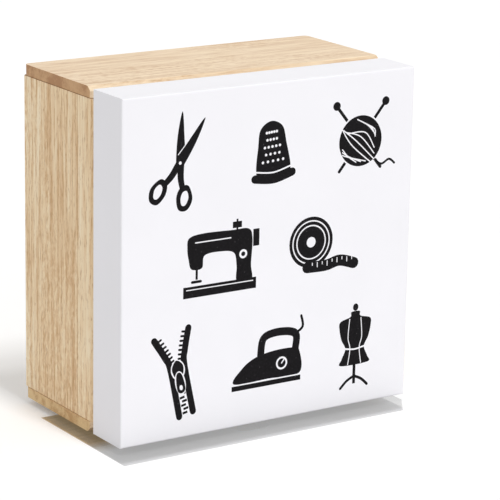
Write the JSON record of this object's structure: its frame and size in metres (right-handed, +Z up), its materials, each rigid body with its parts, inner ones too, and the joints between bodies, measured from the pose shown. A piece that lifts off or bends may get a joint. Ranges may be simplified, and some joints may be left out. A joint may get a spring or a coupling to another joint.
{
  "type": "button storage drawers",
  "caption": "Small wooden case with a grid of little drawers behind a thick white front cover that pulls straight off, printed with black sewing figures.",
  "frame": {"origin": "on the surface the feet stand on, under the middle of the whole object with its cover on", "axes": "+X to the right as seen from the front, +Y to the back, +Z up"},
  "size_m": [0.197, 0.1116, 0.2049],
  "materials": {
    "case_wood": "pale edge-glued hardwood, satin oil",
    "inner_wood": "plain birch, unfinished",
    "drawer_wood": "pale birch, satin",
    "knob_wood": "turned beech, satin",
    "white_lacquer": "satin white lacquer over wood board",
    "print_ink": "thin black screen print, matt",
    "magnet_metal": "nickel plate",
    "foot_rubber": "matt black bumper"
  },
  "bodies": {
    "case": {"top_board": "case_wood", "bottom_board": "case_wood", "left_side_board": "case_wood", "right_side_board": "case_wood", "back_panel": "inner_wood", "case_dowels": "inner_wood", "feet": "foot_rubber", "liner_top": "inner_wood", "liner_bottom": "inner_wood", "liner_left": "inner_wood", "liner_right": "inner_wood", "shelf_1": "inner_wood", "shelf_2": "inner_wood", "divider_1": "inner_wood", "divider_2": "inner_wood", "case_magnets": "magnet_metal"},
    "cover": {"cover_face": "white_lacquer", "cover_rim_top": "white_lacquer", "cover_rim_bottom": "white_lacquer", "cover_rim_left": "white_lacquer", "cover_rim_right": "white_lacquer", "cover_corner_blocks": "inner_wood", "cover_magnets": "magnet_metal"},
    "drawer_1": {"drawer_1_front": "drawer_wood", "drawer_1_walls": "drawer_wood", "drawer_1_bottom": "drawer_wood", "drawer_1_knob": "knob_wood"},
    "drawer_2": {"drawer_2_front": "drawer_wood", "drawer_2_walls": "drawer_wood", "drawer_2_bottom": "drawer_wood", "drawer_2_knob": "knob_wood"},
    "drawer_3": {"drawer_3_front": "drawer_wood", "drawer_3_walls": "drawer_wood", "drawer_3_bottom": "drawer_wood", "drawer_3_knob": "knob_wood"},
    "drawer_4": {"drawer_4_front": "drawer_wood", "drawer_4_walls": "drawer_wood", "drawer_4_bottom": "drawer_wood", "drawer_4_knob": "knob_wood"},
    "drawer_5": {"drawer_5_front": "drawer_wood", "drawer_5_walls": "drawer_wood", "drawer_5_bottom": "drawer_wood", "drawer_5_knob": "knob_wood"},
    "drawer_6": {"drawer_6_front": "drawer_wood", "drawer_6_walls": "drawer_wood", "drawer_6_bottom": "drawer_wood", "drawer_6_knob": "knob_wood"},
    "drawer_7": {"drawer_7_front": "drawer_wood", "drawer_7_walls": "drawer_wood", "drawer_7_bottom": "drawer_wood", "drawer_7_knob": "knob_wood"},
    "drawer_8": {"drawer_8_front": "drawer_wood", "drawer_8_walls": "drawer_wood", "drawer_8_bottom": "drawer_wood", "drawer_8_knob": "knob_wood"},
    "drawer_9": {"drawer_9_front": "drawer_wood", "drawer_9_walls": "drawer_wood", "drawer_9_bottom": "drawer_wood", "drawer_9_knob": "knob_wood"}
  },
  "joints": [
    {"name": "cover_pull", "type": "slide", "parent": "case", "child": "cover", "axis": [0, -1, 0], "range_m": [0, 0.125]},
    {"name": "drawer_1_slide", "type": "slide", "parent": "case", "child": "drawer_1", "axis": [0, -1, 0], "range_m": [0, 0.055]},
    {"name": "drawer_2_slide", "type": "slide", "parent": "case", "child": "drawer_2", "axis": [0, -1, 0], "range_m": [0, 0.055]},
    {"name": "drawer_3_slide", "type": "slide", "parent": "case", "child": "drawer_3", "axis": [0, -1, 0], "range_m": [0, 0.055]},
    {"name": "drawer_4_slide", "type": "slide", "parent": "case", "child": "drawer_4", "axis": [0, -1, 0], "range_m": [0, 0.055]},
    {"name": "drawer_5_slide", "type": "slide", "parent": "case", "child": "drawer_5", "axis": [0, -1, 0], "range_m": [0, 0.055]},
    {"name": "drawer_6_slide", "type": "slide", "parent": "case", "child": "drawer_6", "axis": [0, -1, 0], "range_m": [0, 0.055]},
    {"name": "drawer_7_slide", "type": "slide", "parent": "case", "child": "drawer_7", "axis": [0, -1, 0], "range_m": [0, 0.055]},
    {"name": "drawer_8_slide", "type": "slide", "parent": "case", "child": "drawer_8", "axis": [0, -1, 0], "range_m": [0, 0.055]},
    {"name": "drawer_9_slide", "type": "slide", "parent": "case", "child": "drawer_9", "axis": [0, -1, 0], "range_m": [0, 0.055]}
  ],
  "couplings": [
    {"joint": "drawer_1_slide", "follows": "cover_pull", "ratio": 0.44},
    {"joint": "drawer_2_slide", "follows": "cover_pull", "ratio": 0.44},
    {"joint": "drawer_3_slide", "follows": "cover_pull", "ratio": 0.44},
    {"joint": "drawer_4_slide", "follows": "cover_pull", "ratio": 0.44},
    {"joint": "drawer_5_slide", "follows": "cover_pull", "ratio": 0.44},
    {"joint": "drawer_6_slide", "follows": "cover_pull", "ratio": 0.44},
    {"joint": "drawer_7_slide", "follows": "cover_pull", "ratio": 0.44},
    {"joint": "drawer_8_slide", "follows": "cover_pull", "ratio": 0.44},
    {"joint": "drawer_9_slide", "follows": "cover_pull", "ratio": 0.44}
  ]
}
